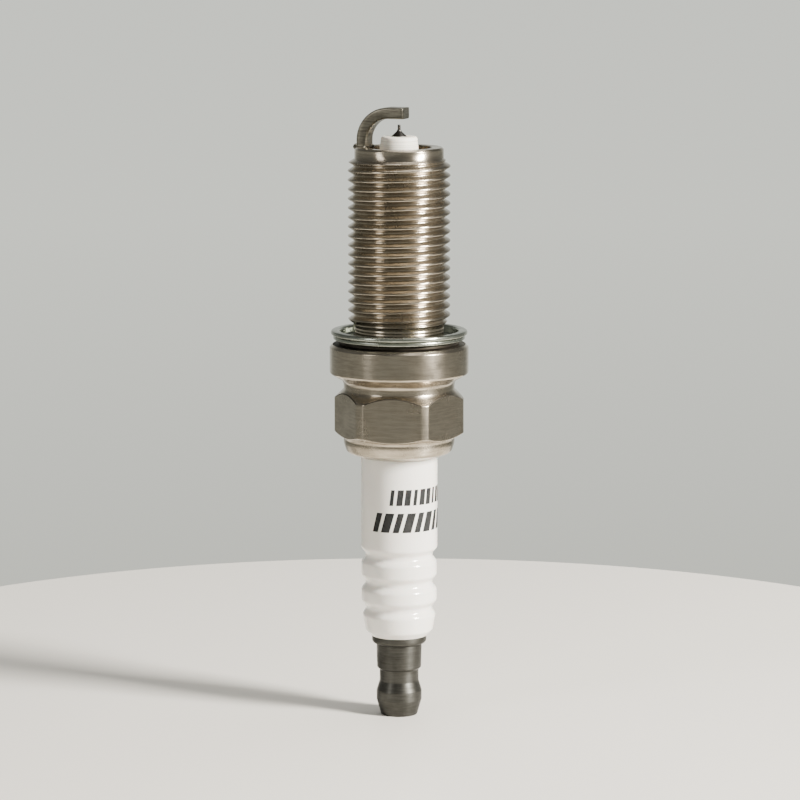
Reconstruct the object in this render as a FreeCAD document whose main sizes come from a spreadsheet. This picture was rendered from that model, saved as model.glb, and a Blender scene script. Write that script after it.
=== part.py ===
import FreeCAD, Part
import math
import operator
import os
from types import SimpleNamespace

import Sketcher

# A spark plug with an M14 x 1.25 thread of 26.5 mm reach, a 16 mm hexagon and a fine-wire centre
# electrode. It stands on its terminal: the origin is the middle of the terminal's end face, and +Z
# runs along the plug's axis towards the firing end. Levels are heights above that end face.

TAN_30 = math.tan(math.radians(30))  # thread flanks, the hexagon's lower bevel, a drill's point

SIZES = {
    # the shell
    "seat_level": 51.0,
    "reach": 26.5,
    "collar_dia": 18.75,
    "collar_height": 3.9,
    "collar_edge": 0.45,
    "neck_dia": 15.0,
    "neck_round": 1.0,
    "hex_flats": 15.75,
    "hex_corner_dia": 17.55,
    "hex_top": 44.9,
    "hex_base": 38.3,
    "hex_turn": 7.0,
    "rim_dia": 15.0,
    "rim_level": 35.65,
    "rim_round": 0.6,
    "rim_lip_length": 0.9,
    "chamber_dia": 12.3,
    "chamber_level": 37.25,
    "chamber_top": 48.7,
    "bore_dia": 9.5,
    "shelf_dia": 7.8,
    "shelf_top": 65.5,
    "mouth_dia": 8.7,
    "relief_dia": 12.1,
    "relief_length": 2.6,
    "thread_dia": 13.75,
    "thread_root_dia": 12.25,
    "thread_pitch": 1.25,
    "pilot_dia": 12.0,
    "pilot_length": 1.5,
    "pilot_edge": 0.25,
    # the gasket, a folded ring of sheet steel
    "gasket_height": 1.9,
    "gasket_roll": 0.63,
    "gasket_dia": 18.4,
    "gasket_middle_dia": 17.8,
    "gasket_foot_dia": 16.3,
    "gasket_hole": 16.0,
    "gasket_lip_dia": 13.2,
    "gasket_lip_height": 0.9,
    "gasket_round": 0.25,
    # the insulator
    "ceramic_end": 11.0,
    "ceramic_end_dia": 7.6,
    "ceramic_dia": 10.4,
    "glaze_end": 35.75,
    "bare_dia": 10.0,
    "rib_dia": 10.25,
    "last_rib_dia": 9.95,
    "groove_dia": 8.6,
    "groove_a": 14.97,
    "groove_b": 18.47,
    "groove_c": 22.24,
    "groove_half": 0.95,
    "groove_round": 0.75,
    "shoulder_level": 41.4,
    "major_dia": 12.0,
    "major_top": 48.5,
    "middle_dia": 9.2,
    "seat_taper": 62.0,
    "nose_root_dia": 6.6,
    "nose_mouth_dia": 5.15,
    "nose_end_dia": 4.8,
    "nose_out": 1.45,
    "nose_round": 0.35,
    "stud_bore_dia": 3.9,
    "wire_bore_dia": 2.1,
    "bore_step": 59.3,
    # what fills the insulator's bore
    "shank_dia": 3.7,
    "shank_top": 39.1,
    "knurl_pitch": 0.8,
    "knurl_depth": 0.2,
    "upper_seal_base": 35.7,
    "resistor_base": 40.9,
    "resistor_top": 51.7,
    "head_dia": 3.3,
    "head_base": 57.1,
    "electrode_dia": 2.0,
    "core_dia": 1.1,
    "core_top": 76.0,
    "cone_dia": 1.98,
    "cone_top_dia": 0.62,
    "electrode_out": 1.55,
    "wire_dia": 0.4,
    "wire_length": 1.15,
    "wire_free": 0.65,
    # the packing between the insulator and the shell
    "packing_thickness": 0.3,
    "packing_inner_dia": 7.9,
    "packing_outer_dia": 9.1,
    "ring_wire_dia": 1.13,
    "upper_ring_level": 37.93,
    "lower_ring_level": 40.8,
    # the ground electrode
    "strap_width": 2.6,
    "strap_thickness": 1.5,
    "strap_round": 0.3,
    "strap_foot": 4.95,
    "strap_bend": 3.7,
    "strap_turn": 20.5,
    "strap_over": 1.0,
    "spark_gap": 0.8,
    # the terminal
    "flange_base": 9.9,
    "flange_dia": 7.4,
    "flange_round": 0.6,
    "stud_thread_dia": 4.0,
    "stud_root_dia": 3.2,
    "stud_pitch": 0.7,
    "stud_end": 2.9,
    "stud_neck": 0.7,
    "nut_dia": 6.15,
    "nut_bulb_dia": 6.15,
    "nut_neck_dia": 5.3,
    "nut_end_dia": 4.95,
    "nut_cone": 2.1,
    "nut_bulb_top": 3.35,
    "nut_neck_base": 4.7,
    "nut_neck_top": 6.25,
    "nut_skirt": 6.6,
    "nut_bore_dia": 4.12,
    "nut_bore_end": 2.3,
    "nut_round": 0.9,
}

doc = FreeCAD.newDocument("spark_plug")


class Size:
    """A length: its value now, and the expression that binds it to the sheet."""

    def __init__(self, value, text):
        self.value = value
        self.text = text

    def joined(self, sign, other, work):
        if not isinstance(other, Size):
            other = Size(other, repr(other))
        return Size(work(self.value, other.value), f"({self.text} {sign} {other.text})")

    def __add__(self, other):
        return self.joined("+", other, operator.add)

    def __sub__(self, other):
        return self.joined("-", other, operator.sub)

    def __mul__(self, other):
        return self.joined("*", other, operator.mul)

    def __truediv__(self, other):
        return self.joined("/", other, operator.truediv)


AXIS = Size(0.0, "0")


def sized_sheet():
    """The spreadsheet of driving dimensions, and each of them as a Size."""
    sheet = doc.addObject("Spreadsheet::Sheet", "Sizes")
    for row, (alias, value) in enumerate(SIZES.items(), start=1):
        sheet.set(f"A{row}", alias)
        sheet.set(f"B{row}", str(value))
        sheet.setAlias(f"B{row}", alias)
    doc.recompute()
    return SimpleNamespace(**{a: Size(sheet.get(a), f"Sizes.{a}") for a in SIZES})


s = sized_sheet()

# levels that several pieces share
shell_end = s.seat_level + s.reach
nose_end = shell_end + s.nose_out
tip_level = nose_end + s.electrode_out
strap_middle = tip_level + s.spark_gap + s.strap_thickness / 2
collar_base = s.seat_level - s.collar_height
thread_start = s.seat_level + s.relief_length
thread_end = shell_end - s.pilot_length


def new_body(label):
    body = doc.addObject("PartDesign::Body", label)
    body.Label = label
    return body


def new_sketch(body, name, role):
    """An empty sketch on one of the body's own origin planes."""
    plane = [f for f in body.Origin.OriginFeatures if f.Role == role][0]
    sketch = body.newObject("Sketcher::SketchObject", name)
    sketch.AttachmentSupport = [(plane, "")]
    sketch.MapMode = "FlatFace"
    return sketch


def bind(sketch, kind, size, *where):
    """Add a dimension and tie it to the sheet."""
    index = sketch.addConstraint(Sketcher.Constraint(kind, *where, size.value))
    sketch.setExpression(f"Constraints[{index}]", size.text)


def place(sketch, edge, end, across, up):
    """Fix one end of an edge at two Sizes from the sketch's origin."""
    for kind, size, axis in (("DistanceX", across, -2), ("DistanceY", up, -1)):
        if size is AXIS:
            sketch.addConstraint(Sketcher.Constraint("PointOnObject", edge, end, axis))
        else:
            bind(sketch, kind, size, -1, 1, edge, end)


def closed_outline(sketch, corners):
    """Straight edges round the corners, each corner fixed by its two Sizes."""
    points = [FreeCAD.Vector(across.value, up.value, 0) for across, up in corners]
    for start, end in zip(points, points[1:] + points[:1]):
        sketch.addGeometry(Part.LineSegment(start, end), False)
    for i in range(len(corners)):
        joint = Sketcher.Constraint("Coincident", i, 2, (i + 1) % len(corners), 1)
        sketch.addConstraint(joint)
    for i, (across, up) in enumerate(corners):
        place(sketch, i, 1, across, up)


def revolved(body, corners):
    """Turn an outline of (radius, level) corners about the plug's axis."""
    sketch = new_sketch(body, f"{body.Label}_outline", "XZ_Plane")
    closed_outline(sketch, corners)
    turned = body.newObject("PartDesign::Revolution", f"{body.Label}_turned")
    turned.Profile = sketch
    turned.ReferenceAxis = (sketch, ["V_Axis"])
    turned.Angle = 360
    doc.recompute()
    return turned


def piece(label, *corners):
    """A body of its own that is one turned outline."""
    body = new_body(label)
    revolved(body, corners)
    return body


def rounded(body, radius, *rings):
    """Round the circular edges that lie at these (radius, level) pairs."""
    base = body.Tip
    names = []
    for number, edge in enumerate(base.Shape.Edges, start=1):
        if not isinstance(edge.Curve, Part.Circle):
            continue
        for across, up in rings:
            same_radius = abs(edge.Curve.Radius - across.value) < 1e-4
            if same_radius and abs(edge.Curve.Center.z - up.value) < 1e-4:
                names.append(f"Edge{number}")
    if len(names) != len(rings):
        raise RuntimeError(f"{body.Label}: {len(names)} edges to round, not {len(rings)}")
    fillet = body.newObject("PartDesign::Fillet", f"{body.Label}_round")
    fillet.Base = (base, names)
    fillet.setExpression("Radius", radius.text)
    doc.recompute()


def threaded(body, crest, root, pitch, start, end):
    """Cut a right-hand 60 degree groove that runs out past both ends of the crest."""
    half_root = pitch * 0.1
    outside = crest + 0.05
    half_mouth = half_root + (outside - root) * TAN_30
    first = start - pitch
    sketch = new_sketch(body, f"{body.Label}_groove", "XZ_Plane")
    closed_outline(
        sketch,
        [
            (root, first - half_root),
            (outside, first - half_mouth),
            (outside, first + half_mouth),
            (root, first + half_root),
        ],
    )
    groove = body.newObject("PartDesign::SubtractiveHelix", f"{body.Label}_thread")
    groove.Profile = sketch
    groove.ReferenceAxis = (sketch, ["V_Axis"])
    groove.Mode = 0  # by pitch and height
    groove.setExpression("Pitch", pitch.text)
    groove.setExpression("Height", (end - start + pitch * 2).text)
    groove.LeftHanded = False
    doc.recompute()


def hexagon(body):
    """Mill six flats: cut away the ring between a hexagon and a circle outside it."""
    sketch = new_sketch(body, f"{body.Label}_flats", "XY_Plane")
    level = (s.hex_top + collar_base) / 2
    sketch.setExpression("AttachmentOffset.Base.z", level.text)
    corner = s.hex_flats / math.sqrt(3)
    origin = FreeCAD.Vector(0, 0, 0)
    up = FreeCAD.Vector(0, 0, 1)
    first_corner = math.radians(-60 - s.hex_turn.value)
    points = []
    for i in range(6):
        angle = first_corner - i * math.radians(60)
        points.append(corner.value * FreeCAD.Vector(math.cos(angle), math.sin(angle), 0))
    for start, end in zip(points, points[1:] + points[:1]):
        sketch.addGeometry(Part.LineSegment(start, end), False)
    circle = sketch.addGeometry(Part.Circle(origin, up, corner.value), True)
    outer = sketch.addGeometry(Part.Circle(origin, up, s.collar_dia.value), False)
    for ring, radius in ((circle, corner), (outer, s.collar_dia)):
        sketch.addConstraint(Sketcher.Constraint("Coincident", ring, 3, -1, 1))
        bind(sketch, "Radius", radius, ring)
    for i in range(6):
        sketch.addConstraint(Sketcher.Constraint("Coincident", i, 2, (i + 1) % 6, 1))
        sketch.addConstraint(Sketcher.Constraint("PointOnObject", i, 1, circle))
    for i in range(1, 6):
        sketch.addConstraint(Sketcher.Constraint("Equal", 0, i))
    turn = sketch.addConstraint(
        Sketcher.Constraint("Angle", 0, math.radians(180 - s.hex_turn.value))
    )
    sketch.setExpression(f"Constraints[{turn}]", f"180 deg - {s.hex_turn.text} * 1 deg")
    doc.recompute()
    before = body.Shape.Volume
    flats = body.newObject("PartDesign::Pocket", f"{body.Label}_hexagon")
    flats.Profile = sketch
    flats.setExpression("Length", (level - s.hex_base + 0.5).text)
    doc.recompute()
    if body.Shape.Volume >= before:
        raise RuntimeError("the hexagon's pocket cut nothing")


def make_shell():
    """Rim crimped over the insulator, hexagon, neck, collar, threaded shank and open mouth."""
    body = new_body("metal_shell")
    lip = s.ceramic_dia / 2 + 0.05
    rim = s.rim_dia / 2
    neck = s.neck_dia / 2
    collar = s.collar_dia / 2
    corner = s.hex_corner_dia / 2
    crest = s.thread_dia / 2
    relief = s.relief_dia / 2
    pilot = s.pilot_dia / 2
    chamber = s.chamber_dia / 2
    bore = s.bore_dia / 2
    shelf = s.shelf_dia / 2
    mouth = s.mouth_dia / 2
    shoulder = (rim, s.rim_level + 1.95)
    knuckle = (rim - 0.4, s.rim_level + 0.75)
    collar_low = (collar, collar_base)
    neck_top = (neck, collar_base - (collar - neck) * TAN_30)
    neck_low = (neck, s.hex_top)
    lip_edge = (lip + 0.15, s.rim_level)
    run_in = crest - relief
    seat_cone = s.seat_taper + s.packing_thickness * math.sqrt(2) + s.middle_dia / 2
    revolved(
        body,
        [
            (lip, s.rim_level + 0.15),
            lip_edge,
            knuckle,
            shoulder,
            (rim, s.hex_base),
            (corner, s.hex_base + (corner - rim) * TAN_30),
            (corner, s.hex_top - (corner - neck)),
            neck_low,
            neck_top,
            collar_low,
            (collar, s.seat_level - s.collar_edge),
            (collar - s.collar_edge, s.seat_level),
            (relief, s.seat_level),
            (relief, thread_start),
            (crest, thread_start + run_in),
            (crest, thread_end - run_in * 0.6),
            (pilot, thread_end),
            (pilot, shell_end - s.pilot_edge),
            (pilot - s.pilot_edge, shell_end),
            (mouth + 0.1, shell_end),
            (mouth, shell_end - 0.1),
            (mouth, s.shelf_top + (mouth - shelf)),
            (shelf, s.shelf_top),
            (shelf, seat_cone - shelf),
            (bore, seat_cone - bore),
            (bore, s.chamber_top + (chamber - bore)),
            (chamber, s.chamber_top),
            (chamber, s.chamber_level + 0.4),
            (lip, s.rim_level + s.rim_lip_length),
        ],
    )
    rounded(body, s.rim_round, shoulder, knuckle)
    rounded(body, s.collar_edge, collar_low)
    rounded(body, s.neck_round, neck_top)
    hexagon(body)
    threaded(
        body, crest, s.thread_root_dia / 2, s.thread_pitch, thread_start, thread_end
    )


def make_gasket():
    """The folded ring: a foot on the collar, two rolls outside, and a lip that keeps it captive."""
    body = new_body("seat_gasket")
    floor = s.seat_level
    roll = s.gasket_roll
    top = floor + s.gasket_height
    foot = s.gasket_foot_dia / 2
    middle = s.gasket_middle_dia / 2
    outer = s.gasket_dia / 2
    hole = s.gasket_hole / 2
    lip = s.gasket_lip_dia / 2
    lip_top = floor + s.gasket_lip_height
    revolved(
        body,
        [
            (lip, lip_top - 0.4),
            (foot - 0.5, floor),
            (foot, floor),
            (foot, floor + roll),
            (middle, floor + roll),
            (middle, floor + roll * 2),
            (outer, floor + roll * 2),
            (outer, top),
            (hole, top),
            (hole, lip_top),
            (lip, lip_top),
        ],
    )
    rounded(
        body,
        s.gasket_round,
        (middle, floor + roll),
        (outer, floor + roll * 2),
        (outer, top),
        (hole, top),
    )


def make_insulator():
    """The alumina body: ribs, print band, major diameter in the shell, seat taper and firing nose."""
    body = new_body("insulator")
    end = s.ceramic_end_dia / 2
    main = s.ceramic_dia / 2
    bare = s.bare_dia / 2
    rib = s.rib_dia / 2
    last_rib = s.last_rib_dia / 2
    major = s.major_dia / 2
    middle = s.middle_dia / 2
    root = s.nose_root_dia / 2
    stud_bore = s.stud_bore_dia / 2
    wire_bore = s.wire_bore_dia / 2
    half = s.groove_half
    bottom = s.groove_dia / 2
    heel = (last_rib - 0.42, s.ceramic_end + 0.8)
    levels = (s.groove_a, s.groove_b, s.groove_c)
    sides = ((last_rib, rib), (rib, rib), (rib, main))
    corners = [(stud_bore, s.ceramic_end), (end, s.ceramic_end), heel]
    bends = [heel]
    for level, (below, above) in zip(levels, sides):
        bends += [(below, level - half), (bottom, level), (above, level + half)]
        corners += bends[-3:]
    corners += [
        (main, s.glaze_end),
        (bare, s.glaze_end),
        (bare, s.shoulder_level),
        (major, s.shoulder_level + 0.7),
        (major, s.major_top),
        (middle, s.major_top + (major - middle)),
        (middle, s.seat_taper),
        (root, s.seat_taper + (middle - root)),
        (s.nose_mouth_dia / 2, shell_end),
        (s.nose_end_dia / 2, nose_end),
        (wire_bore, nose_end),
        (wire_bore, s.bore_step + (stud_bore - wire_bore)),
        (stud_bore, s.bore_step),
    ]
    revolved(body, corners)
    rounded(body, s.groove_round, *bends)
    rounded(body, s.nose_round, (s.nose_end_dia / 2, nose_end))


def make_centre_electrode():
    """A nickel sheath with a head, round a copper core, and the fine wire set in its cone."""
    head = s.head_dia / 2
    shaft = s.electrode_dia / 2
    core = s.core_dia / 2
    wire = s.wire_dia / 2
    cone_base = s.cone_dia / 2
    cone_top = tip_level - s.wire_free
    socket = tip_level - s.wire_length
    cone = s.bore_step + s.stud_bore_dia / 2
    piece(
        "center_electrode",
        (core, s.head_base),
        (head, s.head_base),
        (head, cone - head),
        (shaft, cone - shaft),
        (shaft, nose_end - 0.3),
        (cone_base, nose_end - 0.2),
        (cone_base, nose_end + 0.05),
        (cone_base * 0.6, nose_end + 0.45),
        (s.cone_top_dia / 2, cone_top - 0.12),
        (s.cone_top_dia / 2 - 0.04, cone_top),
        (wire, cone_top),
        (wire, socket),
        (AXIS, socket),
        (AXIS, s.core_top),
        (core, s.core_top - core * 0.5),
    )
    piece(
        "center_electrode_core",
        (AXIS, s.head_base),
        (core, s.head_base),
        (core, s.core_top - core * 0.5),
        (AXIS, s.core_top),
    )
    piece(
        "fine_wire_tip",
        (AXIS, socket),
        (wire, socket),
        (wire, tip_level - 0.03),
        (wire - 0.03, tip_level),
        (AXIS, tip_level),
    )


def make_resistor_column():
    """The glass seals and the resistor, melted in place between the stud and the electrode."""
    bore = s.stud_bore_dia / 2
    shank = s.shank_dia / 2
    head = s.head_dia / 2
    seal = [(bore, s.upper_seal_base), (bore, s.resistor_base), (AXIS, s.resistor_base)]
    seal += [(AXIS, s.shank_top)]
    seal += list(reversed(knurl(shank)))
    piece("upper_glass_seal", *seal, (shank, s.upper_seal_base))
    piece(
        "resistor",
        (AXIS, s.resistor_base),
        (bore, s.resistor_base),
        (bore, s.resistor_top),
        (AXIS, s.resistor_top),
    )
    piece(
        "lower_glass_seal",
        (AXIS, s.resistor_top),
        (bore, s.resistor_top),
        (bore, s.bore_step),
        (head, s.bore_step + (bore - head)),
        (head, s.head_base),
        (AXIS, s.head_base),
    )


def knurl(shank):
    """Corners of the rings at the end of the stud's shank, from the first ring to the end."""
    corners = []
    for i in range(3):
        level = s.shank_top - s.knurl_pitch * (3.3 - i)
        corners += [
            (shank, level),
            (shank - s.knurl_depth, level + s.knurl_pitch * 0.3),
            (shank - s.knurl_depth, level + s.knurl_pitch * 0.5),
            (shank, level + s.knurl_pitch * 0.8),
        ]
    return corners + [(shank, s.shank_top - 0.3), (shank - 0.3, s.shank_top)]


def make_terminal():
    """The stud with its flange and M4 thread, and the barrel-shaped nut that screws on it."""
    stud = new_body("terminal_stud")
    shank = s.shank_dia / 2
    thread = s.stud_thread_dia / 2
    root = s.stud_root_dia / 2
    flange = s.flange_dia / 2
    flange_low = (flange, s.flange_base)
    neck = s.flange_base - s.stud_neck
    depth = thread - root + 0.05
    revolved(
        stud,
        [
            (AXIS, s.stud_end),
            (thread - depth, s.stud_end),
            (thread, s.stud_end + depth),
            (thread, neck - depth),
            (thread - depth, neck),
            (thread - depth, s.flange_base),
            flange_low,
            (flange, s.ceramic_end),
            (shank, s.ceramic_end),
            *knurl(shank),
            (AXIS, s.shank_top),
        ],
    )
    rounded(stud, s.flange_round, flange_low)
    threaded(stud, thread, root, s.stud_pitch, s.stud_end, neck)

    nut = new_body("terminal_nut")
    end = s.nut_end_dia / 2
    bulb = s.nut_bulb_dia / 2
    slim = s.nut_neck_dia / 2
    skirt = s.nut_dia / 2
    bore = s.nut_bore_dia / 2
    end_edge = (end, AXIS)
    revolved(
        nut,
        [
            (AXIS, AXIS),
            end_edge,
            (bulb, s.nut_cone),
            (bulb, s.nut_bulb_top),
            (slim, s.nut_neck_base),
            (slim, s.nut_neck_top),
            (skirt - 0.07, s.nut_skirt),
            (skirt, s.flange_base),
            (bore, s.flange_base),
            (bore, s.nut_bore_end),
            (AXIS, s.nut_bore_end - bore * TAN_30),
        ],
    )
    rounded(nut, s.nut_round, (bulb, s.nut_cone), (bulb, s.nut_bulb_top))


def make_packing():
    """The washer on the insulator's taper, and the talc between two wire rings under the rim."""
    inner = s.packing_inner_dia / 2
    outer = s.packing_outer_dia / 2
    cone = s.seat_taper + s.middle_dia / 2
    thick = s.packing_thickness * math.sqrt(2)
    piece(
        "seat_packing",
        (inner, cone - inner),
        (outer, cone - outer),
        (outer, cone - outer + thick),
        (inner, cone - inner + thick),
    )
    ceramic = s.bare_dia / 2
    chamber = s.chamber_dia / 2
    wire = s.ring_wire_dia / 2
    piece(
        "talc_ring",
        (ceramic, s.upper_ring_level + wire),
        (chamber, s.upper_ring_level + wire),
        (chamber, s.lower_ring_level - wire),
        (ceramic, s.lower_ring_level - wire),
    )
    for label, level in (
        ("upper_packing_ring", s.upper_ring_level),
        ("lower_packing_ring", s.lower_ring_level),
    ):
        ring = doc.addObject("Part::Torus", label)
        ring.Label = label
        ring.setExpression("Radius1", ((ceramic + chamber) / 2).text)
        ring.setExpression("Radius2", wire.text)
        ring.setExpression("Placement.Base.z", level.text)


def rounded_rectangle(sketch, width, depth, radius):
    """A rectangle about the sketch's origin, width along x and depth along y, with round corners."""
    x, y, r = width.value / 2, depth.value / 2, radius.value
    turns = ((x - r, -y + r, 270), (x - r, y - r, 0), (-x + r, y - r, 90), (-x + r, -y + r, 180))
    ends = []
    for cx, cy, start in turns:
        arc = Part.ArcOfCircle(
            Part.Circle(FreeCAD.Vector(cx, cy, 0), FreeCAD.Vector(0, 0, 1), r),
            math.radians(start),
            math.radians(start + 90),
        )
        ends.append((arc.StartPoint, arc.EndPoint))
        sketch.addGeometry(arc, False)
    for i in range(4):
        line = Part.LineSegment(ends[i][1], ends[(i + 1) % 4][0])
        sketch.addGeometry(line, False)
    for i in range(4):
        line = 4 + i
        sketch.addConstraint(Sketcher.Constraint("Tangent", i, 2, line, 1))
        sketch.addConstraint(Sketcher.Constraint("Tangent", line, 2, (i + 1) % 4, 1))
    bind(sketch, "Radius", radius, 0)
    for i in range(1, 4):
        sketch.addConstraint(Sketcher.Constraint("Equal", 0, i))
    # the side lines are 4 (right) and 6 (left), the others 5 (top) and 7 (bottom)
    sketch.addConstraint(Sketcher.Constraint("Vertical", 4))
    sketch.addConstraint(Sketcher.Constraint("Symmetric", 4, 1, 6, 1, -1, 1))
    bind(sketch, "DistanceX", width / 2, -1, 1, 4, 1)
    bind(sketch, "DistanceY", depth / 2, -1, 1, 5, 1)


def make_ground_electrode():
    """A flat bar with rounded edges, welded on the shell's end and bent over the wire."""
    body = new_body("ground_electrode")
    path = new_sketch(body, "strap_path", "XZ_Plane")
    foot = s.strap_foot
    bend_start = strap_middle - s.strap_bend
    centre = FreeCAD.Vector(s.strap_bend.value - foot.value, bend_start.value, 0)
    arc = Part.ArcOfCircle(
        Part.Circle(centre, FreeCAD.Vector(0, 0, 1), s.strap_bend.value),
        math.pi / 2,
        math.pi,
    )
    base = FreeCAD.Vector(-foot.value, shell_end.value, 0)
    tip = FreeCAD.Vector(s.strap_over.value, strap_middle.value, 0)
    path.addGeometry(Part.LineSegment(base, arc.EndPoint), False)
    path.addGeometry(arc, False)
    path.addGeometry(Part.LineSegment(arc.StartPoint, tip), False)
    path.addConstraint(Sketcher.Constraint("Vertical", 0))
    path.addConstraint(Sketcher.Constraint("Horizontal", 2))
    path.addConstraint(Sketcher.Constraint("Tangent", 0, 2, 1, 2))
    path.addConstraint(Sketcher.Constraint("Tangent", 1, 1, 2, 1))
    bind(path, "Radius", s.strap_bend, 1)
    bind(path, "DistanceX", foot, 0, 1, -1, 1)
    bind(path, "DistanceY", shell_end, -1, 1, 0, 1)
    bind(path, "DistanceX", s.strap_over, -1, 1, 2, 2)
    bind(path, "DistanceY", strap_middle, -1, 1, 2, 2)

    section = new_sketch(body, "strap_section", "XY_Plane")
    section.setExpression("AttachmentOffset.Base.x", f"-{foot.text}")
    section.setExpression("AttachmentOffset.Base.z", shell_end.text)
    rounded_rectangle(section, s.strap_thickness, s.strap_width, s.strap_round)
    doc.recompute()

    strap = body.newObject("PartDesign::AdditivePipe", "strap")
    strap.Profile = section
    strap.Spine = (path, ["Edge1", "Edge2", "Edge3"])
    body.setExpression("Placement.Rotation.Angle", f"{s.strap_turn.text} * 1 deg")
    body.Placement.Rotation.Axis = FreeCAD.Vector(0, 0, -1)
    doc.recompute()


def check_and_write():
    """Stop on any failed object or shape, then write one STEP file per piece."""
    doc.recompute()
    for thing in doc.Objects:
        if {"Invalid", "Error"} & set(thing.State):
            raise RuntimeError(f"{thing.Label} failed: {thing.State}")
    os.makedirs("parts", exist_ok=True)
    for thing in doc.Objects:
        if thing.TypeId not in ("PartDesign::Body", "Part::Torus"):
            continue
        shape = thing.Shape
        if shape.isNull() or not shape.isValid() or len(shape.Solids) != 1:
            raise RuntimeError(f"{thing.Label} isn't one valid solid")
        shape.exportStep(os.path.join("parts", f"{thing.Label}.step"))
        box = shape.BoundBox
        print(
            f"{thing.Label:24s} {shape.Volume:9.2f} mm3"
            f"  z {box.ZMin:7.3f} to {box.ZMax:7.3f}  width {box.XLength:6.3f}"
        )


make_shell()
make_gasket()
make_insulator()
make_centre_electrode()
make_resistor_column()
make_terminal()
make_packing()
make_ground_electrode()
check_and_write()
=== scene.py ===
import math
import random

import bpy
import numpy as np
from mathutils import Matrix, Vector


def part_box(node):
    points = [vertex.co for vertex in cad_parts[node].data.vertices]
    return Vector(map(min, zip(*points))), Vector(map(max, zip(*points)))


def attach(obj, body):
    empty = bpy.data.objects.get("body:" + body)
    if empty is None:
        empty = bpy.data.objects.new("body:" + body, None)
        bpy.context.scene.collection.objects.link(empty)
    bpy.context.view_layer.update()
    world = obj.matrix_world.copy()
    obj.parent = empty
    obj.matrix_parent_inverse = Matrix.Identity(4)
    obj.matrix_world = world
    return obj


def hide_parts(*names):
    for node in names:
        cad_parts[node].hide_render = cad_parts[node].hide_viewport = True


# A spark plug standing on its terminal. The model's frame is in metres; the shapes below are worked
# out in millimetres, with z measured from the terminal's end face, and scaled as meshes are made.

MM = 0.001
FULL_TURN = 2 * math.pi
TAN_30 = math.tan(math.radians(30))
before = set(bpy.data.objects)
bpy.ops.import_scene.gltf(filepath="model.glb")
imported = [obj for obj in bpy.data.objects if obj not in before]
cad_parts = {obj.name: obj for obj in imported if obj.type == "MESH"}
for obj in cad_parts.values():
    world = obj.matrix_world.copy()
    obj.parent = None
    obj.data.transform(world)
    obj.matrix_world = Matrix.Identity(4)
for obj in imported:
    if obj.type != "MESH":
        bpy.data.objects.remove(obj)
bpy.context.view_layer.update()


def levels(node):
    """Lowest and highest level of a CAD node, in millimetres."""
    low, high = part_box(node)
    return low.z / MM, high.z / MM


def radius(node):
    """Greatest radius of a round CAD node, in millimetres."""
    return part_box(node)[1].x / MM


# Levels and radii that come from the frame.
RIM, SHELL_END = levels("metal_shell")
SEAT, GASKET_TOP = levels("seat_gasket")
CERAMIC_END, NOSE_END = levels("insulator")
WIRE_TIP = levels("fine_wire_tip")[1]
STRAP_TOP = levels("ground_electrode")[1]
NUT_TOP = levels("terminal_nut")[1]
COLLAR_R = radius("metal_shell")
GASKET_R = radius("seat_gasket")
FLANGE_R = radius("terminal_stud")
BULB_R = radius("terminal_nut")

# The shell's outside, from the crimped rim up to the mouth.
LIP_R = 5.25
RIM_R = 7.5
HEX_BASE = 38.3
HEX_TOP = 44.9
HEX_FLAT = 7.875
HEX_CORNER = 8.775
HEX_EDGE = 0.07
HEX_TURN = math.radians(7)
NECK_R = 7.5
COLLAR_BASE = SEAT - 3.9
COLLAR_BEVEL = 0.42
RELIEF_R = 6.05
PILOT_R = 6.0
MOUTH_R = 4.35

# The painted shade line along the top of each flat, half its angle and half its height; and how near
# to the seat's level a face of the shell counts as part of the seat, which is painted dark as shade
# under the gasket.
SHADE_LINE_SPAN = math.radians(25.5)
SHADE_LINE_HALF = 0.09
ON_SEAT = 0.02

# The shell's thread.
THREAD_START = SEAT + 2.6
THREAD_END = SHELL_END - 1.5
CREST_R = 6.875
ROOT_R = 6.125
PITCH = 1.25

# The shell's hollows: the shelf that the insulator sits on, the bore and the talc chamber.
SHELF_R, SHELF_BASE, SHELF_TOP = 3.9, 63.1, 65.5
BORE_R, BORE_BASE, BORE_TOP = 4.75, 50.1, 62.3
CHAMBER_R, CHAMBER_BASE, CHAMBER_TOP = 6.15, 37.65, 48.7

# The gasket, a sheet folded into a foot, two rolls and a lip.
FOOT_R = 8.15
ROLL_R = 8.9
HOLE_R = 8.0
GASKET_LIP_R = 6.75
FOOT_TOP = SEAT + 0.6
ROLL_BASE, ROLL_TOP = SEAT + 0.64, SEAT + 1.24
TOP_ROLL_BASE = SEAT + 1.28

# The insulator's outside: end, ribs, band, shoulder, barrel and nose.
END_R = 3.8
LAST_RIB_R = 4.975
RIB_R = 5.125
BODY_R = 5.2
GROOVE_R = 4.3
GROOVE_HALF = 0.95
GROOVE_ROUND = 0.75
GROOVES = (14.97, 18.47, 22.24)
GLAZE_END = 35.75
BARE_R, BARE_END = 5.0, 40.4
SHOULDER_R, SHOULDER_BASE, SHOULDER_TOP = 6.0, 41.4, 48.5
BARREL_R, BARREL_BASE, BARREL_TOP = 4.6, 49.9, 62.0
NOSE_START = 60.0
NOSE_ROOT_R, NOSE_ROOT = 3.3, 63.3
NOSE_MIDDLE_R = 2.575
NOSE_R = 2.4

# The insulator's bore: wide for the stud and seals, narrow for the centre electrode.
WIDE_BORE_R, WIDE_BORE_TOP = 1.95, 59.3
NARROW_BORE_R, NARROW_BORE_BASE = 1.05, 60.2
NOSE_BORE_R = 1.08

# The centre electrode and its wire.
CONE_BASE = NOSE_END - 1.5
CONE_R = 1.0
BEAD_TOP = WIRE_TIP - 0.62
WIRE_R = 0.2

# The ground electrode.
STRAP_WIDTH = 2.6
STRAP_THICK = 1.5
STRAP_EDGE = 0.3
STRAP_FOOT = 4.95
STRAP_BEND = 3.7
STRAP_OVER = 1.0
STRAP_TURN = math.radians(20.5)

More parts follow.
